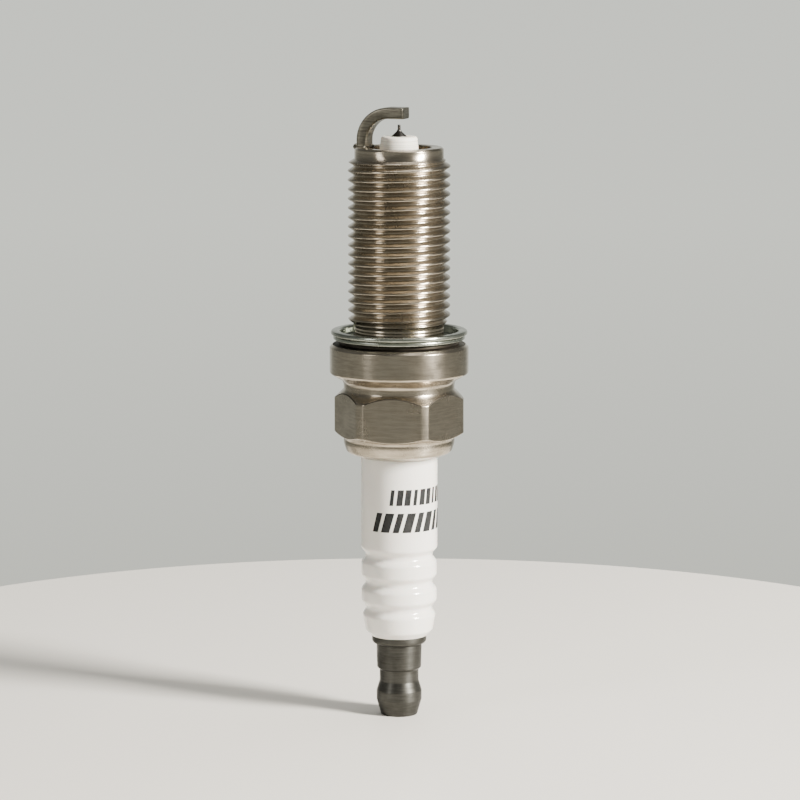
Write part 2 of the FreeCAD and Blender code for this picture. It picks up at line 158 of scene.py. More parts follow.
# The terminal stud: threaded shank, flange and the pin inside the insulator.
STUD_BASE = 2.9
STUD_CREST_R = 2.0
STUD_NECK_R = 1.55
STUD_RIDGE = 0.40
STUD_PITCH = 0.7
STUD_THREAD_END = NUT_TOP - 1.15
PIN_R, PIN_END = 1.85, 39.1

# The terminal nut: end face, bulb, neck, skirt and blind bore.
FACE_R = 2.475
BULB_BASE, BULB_TOP = 2.1, 3.35
NUT_NECK_R, NUT_NECK_BASE, NUT_NECK_TOP = 2.65, 4.7, 6.25
SKIRT_R, SKIRT_BASE = 3.005, 6.6
NUT_BORE_R, NUT_BORE_BASE, NUT_BORE_TIP = 2.06, 2.3, 1.1


# ---------------------------------------------------------------- mesh tools

def new_object(name, vertices, faces):
    """A mesh object from points in millimetres."""
    mesh = bpy.data.meshes.new(name)
    mesh.from_pydata([tuple(c * MM for c in v) for v in vertices], [], faces)
    mesh.validate()
    mesh.polygons.foreach_set("use_smooth", [True] * len(mesh.polygons))
    obj = bpy.data.objects.new(name, mesh)
    bpy.context.scene.collection.objects.link(obj)
    weights = obj.modifiers.new("weighted_normals", "WEIGHTED_NORMAL")
    weights.mode = "FACE_AREA_WITH_ANGLE"
    weights.keep_sharp = True
    return obj


def rounded(corners, steps=6):
    """A closed outline of (r, z) points from (r, z, round) corners; each round is a true arc, made
    smaller where it would take more than half of a side."""
    points = []
    count = len(corners)
    for i in range(count):
        here = np.array(corners[i][:2], float)
        back = np.array(corners[i - 1][:2], float) - here
        on = np.array(corners[(i + 1) % count][:2], float) - here
        size = corners[i][2]
        back_len, on_len = np.linalg.norm(back), np.linalg.norm(on)
        back, on = back / back_len, on / on_len
        if size == 0 or back @ on < -0.9999:
            points.append(tuple(here))
            continue
        half = math.acos(max(-1.0, min(1.0, float(back @ on)))) / 2
        reach = min(size / math.tan(half), 0.49 * back_len, 0.49 * on_len)
        size = reach * math.tan(half)
        middle = here + (back + on) / np.linalg.norm(back + on) * size / math.sin(half)
        start = here + back * reach - middle
        end = here + on * reach - middle
        first = math.atan2(start[1], start[0])
        sweep = math.atan2(end[1], end[0]) - first
        sweep = (sweep + math.pi) % FULL_TURN - math.pi
        for k in range(steps + 1):
            a = first + sweep * k / steps
            points.append((middle[0] + size * math.cos(a), middle[1] + size * math.sin(a)))
    return points


def turned(name, outline, sides=192, shape=None):
    """Turn a closed outline about Z. Points on the axis become one vertex; shape(r, z, angle) may
    move a point to another (r, z)."""
    vertices, rings = [], []
    angles = [FULL_TURN * i / sides for i in range(sides)]
    for r, z in outline:
        if r < 1e-6:
            rings.append([len(vertices)] * sides)
            vertices.append((0, 0, z))
            continue
        rings.append(range(len(vertices), len(vertices) + sides))
        for a in angles:
            new_r, new_z = shape(r, z, a) if shape else (r, z)
            vertices.append((new_r * math.cos(a), new_r * math.sin(a), new_z))
    faces = []
    for k, ring in enumerate(rings):
        after = rings[(k + 1) % len(rings)]
        for i in range(sides):
            j = (i + 1) % sides
            face = [ring[i], ring[j], after[j], after[i]]
            face = [v for n, v in enumerate(face) if v not in face[:n]]
            if len(face) > 2:
                faces.append(face)
    return new_object(name, vertices, faces)


def stacked(name, rows, closed=True):
    """A mesh from rows of points, every row closed on itself. Where closed is true, the last row is
    joined to the first."""
    count, sides = rows.shape[0], rows.shape[1]
    faces = []
    for k in range(count if closed else count - 1):
        base, after = k * sides, ((k + 1) % count) * sides
        for i in range(sides):
            j = (i + 1) % sides
            faces.append((base + i, base + j, after + j, after + i))
    return new_object(name, rows.reshape(-1, 3), faces)


def soft_max(a, b, blend):
    """The greater of two values, with the change from one to the other blended."""
    return 0.5 * (a + b + np.sqrt((a - b) ** 2 + blend * blend))


def soft_min(a, b, blend):
    """The lesser of two values, with the change from one to the other blended."""
    return 0.5 * (a + b - np.sqrt((a - b) ** 2 + blend * blend))


def off_crest(z, angle, pitch):
    """Distance along the axis from the nearest crest of a right-hand thread."""
    return np.abs((z / pitch - angle / FULL_TURN + 0.5) % 1 - 0.5) * pitch


def thread_ridge(across, height, flat, crest_blend, root_blend):
    """Height of a thread's ridge at a distance from its crest, with 60 degrees between its sides."""
    drop = soft_max(across - flat, 0, crest_blend) / TAN_30
    return soft_max(height - drop, 0, root_blend)


# ---------------------------------------------------------------- material tools

def new_material(name, **values):
    """A material with a Principled shader. values sets plain sockets: coat_weight is "Coat Weight",
    and ior is "IOR"."""
    material = bpy.data.materials.new(name)
    material.use_nodes = True
    shader = material.node_tree.nodes["Principled BSDF"]
    for key, value in values.items():
        socket = key.replace("_", " ").title().replace("Ior", "IOR")
        shader.inputs[socket].default_value = value
    return material, material.node_tree, shader


def noise(tree, vector, detail=4.0, roughness=0.55):
    """Noise from 0 to 1, about one lump for each unit of the coordinates."""
    node = tree.nodes.new("ShaderNodeTexNoise")
    node.inputs["Scale"].default_value = 1.0
    node.inputs["Detail"].default_value = detail
    node.inputs["Roughness"].default_value = roughness
    tree.links.new(vector, node.inputs["Vector"])
    return node.outputs["Fac"]


def stretched(tree, across, along=None):
    """Object coordinates, scaled by across in X and Y, and by along, or else across too, in Z."""
    where = tree.nodes.new("ShaderNodeTexCoord")
    mapping = tree.nodes.new("ShaderNodeMapping")
    mapping.inputs["Scale"].default_value = (across, across, along or across)
    tree.links.new(where.outputs["Object"], mapping.inputs["Vector"])
    return mapping.outputs["Vector"]


def round_coordinates(tree, outwards, along):
    """Scaled coordinates (distance from the axis, level) for marks that run round the axis."""
    where = tree.nodes.new("ShaderNodeTexCoord")
    split = tree.nodes.new("ShaderNodeSeparateXYZ")
    tree.links.new(where.outputs["Object"], split.inputs[0])
    flat = tree.nodes.new("ShaderNodeCombineXYZ")
    tree.links.new(split.outputs["X"], flat.inputs["X"])
    tree.links.new(split.outputs["Y"], flat.inputs["Y"])
    length = tree.nodes.new("ShaderNodeVectorMath")
    length.operation = "LENGTH"
    tree.links.new(flat.outputs[0], length.inputs[0])
    joined = tree.nodes.new("ShaderNodeCombineXYZ")
    for source, target, size in (
        (length.outputs["Value"], "X", outwards),
        (split.outputs["Z"], "Z", along),
    ):
        times = tree.nodes.new("ShaderNodeMath")
        times.operation = "MULTIPLY"
        times.inputs[1].default_value = size
        tree.links.new(source, times.inputs[0])
        tree.links.new(times.outputs[0], joined.inputs[target])
    return joined.outputs[0]


def spread(tree, source, low, high, from_low=0.0, from_high=1.0):
    """Map a value from one span to another, and stop it at the ends."""
    node = tree.nodes.new("ShaderNodeMapRange")
    node.inputs["From Min"].default_value = from_low
    node.inputs["From Max"].default_value = from_high
    node.inputs["To Min"].default_value = low
    node.inputs["To Max"].default_value = high
    tree.links.new(source, node.inputs["Value"])
    return node.outputs["Result"]


def mixed(tree, factor, first, second):
    """A colour between two, by a factor."""
    node = tree.nodes.new("ShaderNodeMix")
    node.data_type = "RGBA"
    node.inputs["A"].default_value = (*first, 1)
    node.inputs["B"].default_value = (*second, 1)
    tree.links.new(factor, node.inputs["Factor"])
    return node.outputs["Result"]


def bump(tree, shader, *layers):
    """Stack bump layers, each (height, strength, distance in metres), into the shader's normal."""
    normal = None
    for height, strength, distance in layers:
        node = tree.nodes.new("ShaderNodeBump")
        node.inputs["Strength"].default_value = strength
        node.inputs["Distance"].default_value = distance
        tree.links.new(height, node.inputs["Height"])
        if normal is not None:
            tree.links.new(normal, node.inputs["Normal"])
        normal = node.outputs["Normal"]
    tree.links.new(normal, shader.inputs["Normal"])


# ---------------------------------------------------------------- materials

def turned_metal(name, light, dark, rough, mark=0.25, brushed=0.75):
    """Metal off a lathe: fine rings round the axis, which spread a highlight along it, cloudy wear,
    fine scratches round the piece and a little grain. mark is how deep the marks look."""
    material, tree, shader = new_material(
        name, metallic=1.0, anisotropic=brushed, anisotropic_rotation=0.25
    )
    around = tree.nodes.new("ShaderNodeTangent")
    around.direction_type = "RADIAL"
    around.axis = "Z"
    tree.links.new(around.outputs["Tangent"], shader.inputs["Tangent"])
    rings = noise(tree, round_coordinates(tree, 9000, 9000), 3.0, 0.7)
    coarse = noise(tree, round_coordinates(tree, 1800, 1800), 2.0)
    cloud = noise(tree, stretched(tree, 260), 5.0, 0.6)
    grain = noise(tree, stretched(tree, 4200), 2.0, 0.6)
    scratches = noise(tree, stretched(tree, 380, 4200), 2.0, 0.6)
    wear = tree.nodes.new("ShaderNodeMath")
    wear.use_clamp = True
    tree.links.new(spread(tree, cloud, 0, 1, 0.35, 0.7), wear.inputs[0])
    tree.links.new(spread(tree, scratches, -0.25, 0.4, 0.35, 0.65), wear.inputs[1])
    tree.links.new(mixed(tree, wear.outputs[0], light, dark), shader.inputs["Base Color"])
    roughness = spread(tree, cloud, rough * 0.75, rough * 1.35, 0.3, 0.7)
    tree.links.new(roughness, shader.inputs["Roughness"])
    bump(
        tree,
        shader,
        (rings, mark, 0.00001),
        (coarse, mark, 0.00003),
        (scratches, mark, 0.00003),
        (grain, mark * 0.6, 0.000006),
    )
    return material


def glazed():
    """White glaze: glossy, barely cloudy, with the faint waves that a fired glaze has."""
    light, dark = (0.87, 0.84, 0.79), (0.82, 0.79, 0.735)
    material, tree, shader = new_material(
        "white_glaze",
        ior=1.52,
        subsurface_weight=0.08,
        subsurface_scale=0.0008,
        coat_weight=0.4,
        coat_roughness=0.06,
    )
    cloud = noise(tree, stretched(tree, 180))
    tree.links.new(
        mixed(tree, spread(tree, cloud, 0, 1, 0.3, 0.7), light, dark), shader.inputs["Base Color"]
    )
    tree.links.new(spread(tree, cloud, 0.12, 0.24), shader.inputs["Roughness"])
    waves = noise(tree, stretched(tree, 900), 2.0)
    bump(tree, shader, (waves, 0.08, 0.00004))
    return material


def bare_ceramic():
    """Unglazed firing nose: matt, with the fine rings left by grinding."""
    light, dark = (0.82, 0.79, 0.70), (0.62, 0.595, 0.52)
    material, tree, shader = new_material(
        "bare_ceramic", roughness=0.55, subsurface_weight=0.08, subsurface_scale=0.0006
    )
    rings = noise(tree, round_coordinates(tree, 300, 5200), 1.0)
    tree.links.new(
        mixed(tree, spread(tree, rings, 0, 1, 0.35, 0.65), light, dark), shader.inputs["Base Color"]
    )
    bump(tree, shader, (rings, 0.35, 0.00006))
    return material


def matte(name, light, dark, rough, shine=0.5):
    """A dull material with a fine grain in its colour, roughness and surface."""
    material, tree, shader = new_material(name, specular_ior_level=shine)
    grain = noise(tree, stretched(tree, 1500))
    tree.links.new(
        mixed(tree, spread(tree, grain, 0, 1, 0.3, 0.7), light, dark), shader.inputs["Base Color"]
    )
    roughness = spread(tree, grain, rough * 0.8, min(1.0, rough * 1.2))
    tree.links.new(roughness, shader.inputs["Roughness"])
    bump(tree, shader, (grain, 0.2, 0.00002))
    return material


def table_paint():
    """Pale, faintly cloudy paint with a low sheen."""
    light, dark = (0.78, 0.75, 0.69), (0.75, 0.72, 0.665)
    material, tree, shader = new_material(
        "pale_table", ior=1.45, roughness=0.45, coat_weight=0.15, coat_roughness=0.3
    )
    cloud = noise(tree, stretched(tree, 18), 3.0)
    tree.links.new(mixed(tree, cloud, light, dark), shader.inputs["Base Color"])
    return material


# ---------------------------------------------------------------- pieces

def shell_angles():
    """Angles round the shell, close together at the hexagon's corners and wide on its flats."""
    flat_end, wide, close = 22, 2, 0.6
    sector = list(np.arange(-flat_end, flat_end + close, wide))
    sector += list(np.arange(flat_end + close, 60 - flat_end - close, close))
    front = -90 - math.degrees(HEX_TURN)
    return np.radians(np.array([front + 60 * side + a for side in range(6) for a in sector]))


def from_flat(angle):
    """Angle from the middle of the nearest flat of the hexagon."""
    front = -math.pi / 2 - HEX_TURN
    return (angle - front + math.pi / 6) % (math.pi / 3) - math.pi / 6


def between(start, end, shares):
    """Rows (r, z) at some shares of the way from one row to another."""
    return [tuple(p + (q - p) * t for p, q in zip(start, end)) for t in shares]


def bent(start, corner, end):
    """Rows (r, z) that round off one corner."""
    rows = []
    for t in np.linspace(0, 1, 6):
        a, b, c = (1 - t) ** 2, 2 * t * (1 - t), t * t
        rows.append(tuple(a * p + b * q + c * s for p, q, s in zip(start, corner, end)))
    return rows


def hexagon_rows(angles):
    """Rows of (r, z) over the hexagon: lower bevel, flat and upper bevel, edges slightly rounded."""
    width = soft_min(HEX_FLAT / np.cos(from_flat(angles)), HEX_CORNER, blend=0.06)
    low = HEX_BASE + (width - RIM_R) * TAN_30
    high = HEX_TOP - (width - NECK_R)
    inwards = HEX_EDGE / math.hypot(1, TAN_30)
    side = HEX_EDGE * math.sqrt(0.5)
    bevel_end = (width - HEX_EDGE, low - HEX_EDGE * TAN_30)
    flat_base, flat_top = (width, low + HEX_EDGE), (width, high - HEX_EDGE)
    upper_bevel = (width - side, high + side)
    rows = between((RIM_R, HEX_BASE), bevel_end, (0.0, 0.5))
    rows += bent((width - inwards, low - inwards * TAN_30), (width, low), flat_base)
    rows += between(flat_base, flat_top, (0.02, 0.3, 0.5, 0.7, 0.98))
    rows += bent(flat_top, (width, high), upper_bevel)
    rows += between(upper_bevel, (NECK_R, HEX_TOP), (0.03, 0.5))
    return rows


def thread_rows(angles):
    """Rows of (r, z) up the relief and the thread: turning marks, then a rolled right-hand ridge that
    fades in and out at its ends."""
    first, last, step = SEAT + 0.4, THREAD_END - 0.02, PITCH / 18
    height = CREST_R - ROOT_R + 0.05  # with what blending takes off the crest
    run_out = 0.6  # length in which the ridge loses a millimetre of its height at the upper end
    mark_depth, mark_spacing = 0.03, 0.42
    rows = []
    for z in np.arange(first, last, step):
        across = off_crest(z, angles, PITCH)
        ridge = thread_ridge(across, height, flat=0.09, crest_blend=0.07, root_blend=0.11)
        limit = min(RELIEF_R + (z - THREAD_START), PILOT_R + (THREAD_END - z) / run_out)
        marks = 0.0
        if z < THREAD_START:
            marks = mark_depth * (1 - math.cos(FULL_TURN * z / mark_spacing))
        r = np.maximum(soft_min(ROOT_R + ridge, limit, blend=0.06), PILOT_R + marks)
        rows.append((r, np.full_like(r, z)))
    return rows


def make_shell():
    """One closed skin: rim, hexagon, neck, collar, relief, thread, mouth and the bore inside."""
    angles = shell_angles()
    rim = [
        (LIP_R, RIM + 0.9, 0),
        (LIP_R, RIM, 0.22),
        (RIM_R - 0.4, RIM + 0.75, 0.7),
        (RIM_R, RIM + 1.95, 2.2),
    ]
    neck_and_collar = [
        (NECK_R - 0.02, HEX_TOP + 0.02, 0.2),
        (NECK_R, COLLAR_BASE - (COLLAR_R - NECK_R) * TAN_30, 1.0),
        (COLLAR_R, COLLAR_BASE, 0.45),
        (COLLAR_R, SEAT - COLLAR_BEVEL, 0.16),
        (COLLAR_R - COLLAR_BEVEL, SEAT, 0.16),
        (RELIEF_R, SEAT, 0.25),
        (RELIEF_R, SEAT + 0.35, 0),
    ]
    mouth_and_bore = [
        (PILOT_R, THREAD_END, 0.1),
        (PILOT_R, SHELL_END - 0.25, 0.12),
        (PILOT_R - 0.25, SHELL_END, 0.12),
        (MOUTH_R + 0.12, SHELL_END, 0.1),
        (MOUTH_R, SHELL_END - 0.12, 0.1),
        (MOUTH_R, SHELF_TOP, 0),
        (SHELF_R, SHELF_TOP, 0),
        (SHELF_R, SHELF_BASE, 0),
        (BORE_R, BORE_TOP, 0),
        (BORE_R, BORE_BASE, 0),
        (CHAMBER_R, CHAMBER_TOP, 0),
        (CHAMBER_R, CHAMBER_BASE, 0),
    ]
    plain = rounded(rim + neck_and_collar + mouth_and_bore)
    plain = [(np.full_like(angles, r), np.full_like(angles, z)) for r, z in plain]
    neck = next(i for i, row in enumerate(plain) if row[1][0] > HEX_TOP - 0.3)
    mouth = next(i for i, row in enumerate(plain) if row[1][0] > THREAD_END - 0.3)
    rows = plain[:neck] + hexagon_rows(angles)
    rows += plain[neck:mouth] + thread_rows(angles)
    rows += plain[mouth:]
    points = [np.stack([r * np.cos(angles), r * np.sin(angles), z], 1) for r, z in rows]
    return stacked("shell_body", np.array(points))


def painted_shade_faces(centre):
    """Whether a face of the shell is painted as shade: on the seat under the gasket, or on the line
    along the top of a flat.
    """
    offset = from_flat(math.atan2(centre.y, centre.x))
    flat_top = HEX_TOP - (HEX_FLAT / math.cos(offset) - NECK_R)
    outside = math.hypot(centre.x, centre.y) > HEX_FLAT - 0.1
    shade_line = outside and abs(offset) < SHADE_LINE_SPAN and abs(centre.z - flat_top) < SHADE_LINE_HALF
    return shade_line or abs(centre.z - SEAT) < ON_SEAT


def make_gasket():
    """A folded sheet ring: foot, two rolls, flat top and a crimped lip that keeps it on the plug."""
    rise = 0.02  # how much higher the gap between two folds is at its inner end
    fold_end = FOOT_R - 0.3
    roll_end = ROLL_R - 0.5
    corners = [
        (GASKET_LIP_R, SEAT + 0.52, 0.1),
        (FOOT_R - 0.6, SEAT + 0.3, 0.2),
        (FOOT_R - 0.5, SEAT, 0.15),
        (FOOT_R, SEAT, 0.28),
        (FOOT_R, FOOT_TOP, 0.25),
        (fold_end, FOOT_TOP + rise, 0.05),
        (fold_end, ROLL_BASE + rise, 0.05),
        (ROLL_R, ROLL_BASE, 0.27),
        (ROLL_R, ROLL_TOP, 0.27),
        (roll_end, ROLL_TOP + rise, 0.03),
        (roll_end, TOP_ROLL_BASE + rise, 0.03),
        (GASKET_R, TOP_ROLL_BASE, 0.27),
        (GASKET_R, GASKET_TOP, 0.27),
        (HOLE_R, GASKET_TOP, 0.3),
        (HOLE_R - 0.06, SEAT + 0.98, 0.1),
        (GASKET_LIP_R, SEAT + 0.86, 0.12),
    ]
    lip_root = HOLE_R - 0.3

    def uneven(r, z, a):
        """Make the ring wavy towards its top, and draw the lip back between its five crimps."""
        wave = 0.025 * math.sin(3 * a + 0.6) + 0.015 * math.sin(7 * a + 2.0)
        crimp = abs(math.cos(2.5 * a + 0.4)) ** 12
        on_lip = max(0.0, (lip_root - r) / (lip_root - GASKET_LIP_R))
        height = (z - SEAT) / (GASKET_TOP - SEAT)
        new_r = r + wave * height * 0.4 + on_lip * 0.45 * (1 - crimp)
        return new_r, z - abs(wave) * height * 0.6

    return turned("gasket_ring", rounded(corners), 224, uneven)


def make_insulator():
    """Glazed body with three soft ribs and a plain band, and the bare firing nose."""
    corners = [
        (WIDE_BORE_R, CERAMIC_END, 0.05),
        (END_R, CERAMIC_END, 0.25),
        (LAST_RIB_R - 0.42, CERAMIC_END + 0.8, GROOVE_ROUND),
    ]
    sides = ((LAST_RIB_R, RIB_R), (RIB_R, RIB_R), (RIB_R, BODY_R))
    for level, (below, above) in zip(GROOVES, sides):
        corners += [
            (below, level - GROOVE_HALF, GROOVE_ROUND),
            (GROOVE_R, level, GROOVE_ROUND),
            (above, level + GROOVE_HALF, GROOVE_ROUND),
        ]
    corners += [
        (BODY_R, GLAZE_END, 0),
        (BARE_R, GLAZE_END, 0),
        (BARE_R, BARE_END, 0.1),
        (SHOULDER_R, SHOULDER_BASE, 0.1),
        (SHOULDER_R, SHOULDER_TOP, 0.2),
        (BARREL_R, BARREL_BASE, 0.2),
        (BARREL_R, BARREL_TOP, 0.1),
        (NOSE_ROOT_R, NOSE_ROOT, 0.3),
        (NOSE_MIDDLE_R, SHELL_END, 0),
        (NOSE_R, NOSE_END, 0.34),
        (NOSE_BORE_R, NOSE_END, 0.06),
        (NARROW_BORE_R, NARROW_BORE_BASE, 0),
        (WIDE_BORE_R, WIDE_BORE_TOP, 0),
    ]
    return turned("insulator_body", rounded(corners, 8))


def make_cone():
    """The end of the centre electrode: its rim in the nose, its cone and the bead under the wire."""
    corners = [
        (0, CONE_BASE, 0),
        (CONE_R, CONE_BASE, 0),
        (CONE_R, NOSE_END - 0.22, 0.05),
        (CONE_R - 0.01, NOSE_END - 0.2, 0.05),
        (CONE_R - 0.01, NOSE_END + 0.06, 0.06),
        (0.60, NOSE_END + 0.42, 0.5),
        (WIRE_R + 0.12, BEAD_TOP - 0.24, 0.35),
        (WIRE_R + 0.05, BEAD_TOP - 0.04, 0.1),
        (WIRE_R - 0.02, BEAD_TOP, 0.04),
        (0, BEAD_TOP, 0),
    ]
    return turned("electrode_cone", rounded(corners, 5), 96)


def make_wire():
    """The fine wire, from inside the bead to its sharp-edged tip."""
    base = BEAD_TOP - 0.28
    corners = [(0, base, 0), (WIRE_R, base, 0), (WIRE_R, WIRE_TIP, 0.03), (0, WIRE_TIP, 0)]
    return turned("wire_tip", rounded(corners, 4), 48)


def at_strap(x, y):
    """Turn a point from the strap's own plane to its place round the plug."""
    c, s = math.cos(STRAP_TURN), math.sin(STRAP_TURN)
    return x * c + y * s, y * c - x * s


def strap_path():
    """Centre line of the ground electrode in its own plane: (along, up, direction of travel)."""
    middle = STRAP_TOP - STRAP_THICK / 2
    bend_start = middle - STRAP_BEND
    steps = 24
    points = []
    for z in np.linspace(SHELL_END - 0.05, bend_start, 5)[:-1]:
        points.append((-STRAP_FOOT, z, math.pi / 2))
    for k in range(steps + 1):
        a = math.pi / 2 * k / steps
        along = -STRAP_FOOT + STRAP_BEND * (1 - math.cos(a))
        points.append((along, bend_start + STRAP_BEND * math.sin(a), math.pi / 2 - a))
    for along in np.linspace(STRAP_BEND - STRAP_FOOT, STRAP_OVER, 9)[1:]:
        points.append((along, middle, 0.0))
    return points


def make_strap():
    """The bar bent over the wire: round edges, sides that bulge at the bend, a sheared end."""
    thick, wide = STRAP_THICK / 2, STRAP_WIDTH / 2
    corners = [(-thick, -wide), (thick, -wide), (thick, wide), (-thick, wide)]
    section = rounded([(u, v, STRAP_EDGE) for u, v in corners])
    path = strap_path()
    last = len(path) - 1
    end = 0.05  # how far the rounding of the sheared end reaches along the bar
    places = [(0, 0.0, 0.0)] + [(i, 1.0, 0.0) for i in range(len(path))]
    places += [(last, 0.97, 0.0), (last, 0.88, 0.04), (last, 0.65, end), (last, 0.0, end)]
    rings = []
    for index, size, ahead in places:
        along, up, heading = path[index]
        c, s = math.cos(heading), math.sin(heading)
        bulge = 0.03 * math.sin(2 * heading) if 0 < heading < math.pi / 2 else 0.0
        ring = []
        for u, v in section:
            x = along + c * (ahead - end) - s * u * size
            y = v * (1 + bulge * u / thick) * size
            ring.append((*at_strap(x, y), up + s * (ahead - end) + c * u * size))
        rings.append(ring)
    return stacked("strap_bar", np.array(rings), closed=False)


def make_weld():
    """The uneven bead squeezed out round the strap's foot, heavier on the outside."""
    chance = random.Random(7)
    count, sides = 64, 12
    squareness = 0.55
    thick, wide = STRAP_THICK / 2 - 0.02, STRAP_WIDTH / 2 - 0.02
    lumps = []
    for _ in range(16):
        centre = chance.uniform(0, FULL_TURN)
        height = chance.uniform(0.03, 0.12)
        lumps.append((centre, height, chance.uniform(0.12, 0.3)))
    rings = []
    for i in range(count):
        a = FULL_TURN * i / count
        c, s = math.cos(a), math.sin(a)
        x = -STRAP_FOOT + math.copysign(abs(c) ** squareness, c) * thick
        y = math.copysign(abs(s) ** squareness, s) * wide
        size = 0.15 + 0.34 * max(0.0, -c) ** 2
        for centre, height, reach in lumps:
            gap = (a - centre + math.pi) % FULL_TURN - math.pi
            size += height * math.exp(-(gap / reach) ** 2)
        ring = []
        for k in range(sides):
            b = FULL_TURN * k / sides
            out = size * math.cos(b)
            up = SHELL_END - 0.02 + size * 0.75 * math.sin(b)
            ring.append((*at_strap(x + c * out, y + s * out), up))
        rings.append(ring)
    return stacked("weld_bead", np.array(rings))


def make_stud():
    """The flange, threaded shank and plain pin of the stud, as one turned bar."""
    bevel = STUD_CREST_R - STUD_NECK_R
    corners = [
        (0, STUD_BASE, 0),
        (STUD_NECK_R, STUD_BASE, 0.1),
        (STUD_CREST_R, STUD_BASE + bevel, 0),
        (STUD_CREST_R, STUD_THREAD_END, 0),
        (STUD_NECK_R, STUD_THREAD_END + bevel, 0),
        (STUD_NECK_R, NUT_TOP, 0.1),
        (FLANGE_R, NUT_TOP, 0.6),
        (FLANGE_R, CERAMIC_END, 0.08),
        (PIN_R, CERAMIC_END, 0),
        (PIN_R, PIN_END, 0.2),
        (0, PIN_END, 0),
    ]
    step = STUD_PITCH / 20
    outline = []
    for r, z in rounded(corners):
        outline.append((r, z))
        if (r, z) == corners[2][:2]:
            outline += [(r, level) for level in np.arange(z + step, STUD_THREAD_END, step)]

    def screw(r, z, a):
        """Cut the thread into the shank, and leave the rest."""
        if r != STUD_CREST_R:
            return r, z
        across = off_crest(z, a, STUD_PITCH)
        ridge = thread_ridge(across, STUD_RIDGE, flat=0.04, crest_blend=0.04, root_blend=0.06)
        return STUD_CREST_R - STUD_RIDGE + ridge, z

    return turned("stud_bar", outline, 128, screw)


def make_nut():
    """The barrel nut: end face, rounded bulb, neck and skirt, with its blind bore."""
    corners = [
        (0, 0, 0),
        (FACE_R, 0, 0.14),
        (BULB_R, BULB_BASE, 0.35),
        (BULB_R, BULB_TOP, 0.9),
        (NUT_NECK_R, NUT_NECK_BASE, 0.5),
        (NUT_NECK_R, NUT_NECK_TOP, 0.06),
        (SKIRT_R, SKIRT_BASE, 0.06),
        (BULB_R, NUT_TOP - 0.35, 0.1),
        (BULB_R, NUT_TOP, 0.06),
        (NUT_BORE_R, NUT_TOP, 0.05),
        (NUT_BORE_R, NUT_BORE_BASE, 0),
        (0, NUT_BORE_TIP, 0),
    ]
    return turned("nut_barrel", rounded(corners), 160)


def make_print():
    """Two rows of plain bars printed on the band, in place of any lettering."""
    skin = BODY_R + 0.008
    across, up = 6, 3
    vertices, faces = [], []

    def bar(centre, level, wide, tall, lean):
        """One bar as a small grid bent round the band; centre is measured along the surface."""
        start = len(vertices)
        for j in range(up + 1):
            for i in range(across + 1):
                v = j / up - 0.5
                x = (i / across - 0.5) * wide + lean * v * tall
                angle = -math.pi / 2 + (centre + x) / BODY_R
                vertices.append((skin * math.cos(angle), skin * math.sin(angle), level + v * tall))
        for j in range(up):
            for i in range(across):
                a = start + j * (across + 1) + i
                faces.append((a, a + 1, a + across + 2, a + across + 1))

    for count, first, step, level, wide, narrow, every, tall, lean in (
        (9, -0.95, 1.08, 30.75, 0.82, 0.5, 3, 2.15, 0.12),
        (8, -3.1, 1.5, 27.3, 1.2, 0.85, 2, 2.65, 0.28),
    ):
        for i in range(count):
            bar(first + i * step, level, wide if i % every else narrow, tall, lean)
    return new_object("print_bars", vertices, faces)


# ---------------------------------------------------------------- build and assign

def dress(obj, material):
    """Give a piece its one material, in place of any others."""
    obj.data.materials.clear()
    obj.data.materials.append(material)
    return obj


def patch(obj, material, wanted):
    """Add a second material, on each face whose centre, in millimetres, wanted says yes to."""
    obj.data.materials.append(material)
    for face in obj.data.polygons:
        face.material_index = int(wanted(face.center / MM))


shell_metal = turned_metal("nickel_plate", (0.50, 0.44, 0.355), (0.35, 0.305, 0.24), 0.22, 0.25, 0.6)
# Near-black metal that paints shade on the seat under the gasket, along the top of each flat and on
# the gasket's foot.
painted_shade_metal = turned_metal("painted_shade", (0.09, 0.08, 0.065), (0.04, 0.035, 0.028), 0.5, 0.25, 0.0)
gasket_metal = turned_metal("zinc_plate", (0.42, 0.44, 0.385), (0.24, 0.255, 0.22), 0.26, 0.3, 0.3)
strap_metal = turned_metal("nickel_alloy", (0.27, 0.25, 0.20), (0.11, 0.10, 0.078), 0.3, 0.5, 0.0)
dark_metal = turned_metal("dark_steel", (0.072, 0.071, 0.064), (0.043, 0.042, 0.037), 0.44, 0.3, 0.4)
wire_metal = turned_metal("wire_metal", (0.09, 0.085, 0.08), (0.045, 0.043, 0.04), 0.4, 0.25, 0.0)
bare_steel = turned_metal("bare_steel", (0.5, 0.5, 0.5), (0.4, 0.4, 0.4), 0.4)
copper = turned_metal("copper_core", (0.8, 0.42, 0.28), (0.6, 0.3, 0.2), 0.35)
ink = matte("print_ink", (0.014, 0.014, 0.014), (0.03, 0.03, 0.03), 0.7, 0.15)
seal_glass = matte("seal_glass", (0.3, 0.2, 0.15), (0.15, 0.12, 0.1), 0.4)
resistor_mass = matte("resistor_mass", (0.08, 0.08, 0.08), (0.03, 0.03, 0.03), 0.7)
talc = matte("talc", (0.85, 0.84, 0.8), (0.7, 0.69, 0.65), 0.9)

shell = dress(make_shell(), shell_metal)
# Painted shade on the seat under the gasket and on a line along the top of each flat.
patch(shell, painted_shade_metal, painted_shade_faces)
gasket = dress(make_gasket(), gasket_metal)
# Painted shade on the lower part of the gasket, below the top of its foot.
patch(gasket, painted_shade_metal, lambda centre: centre.z < FOOT_TOP)
insulator = dress(make_insulator(), glazed())
patch(insulator, bare_ceramic(), lambda centre: centre.z > NOSE_START)

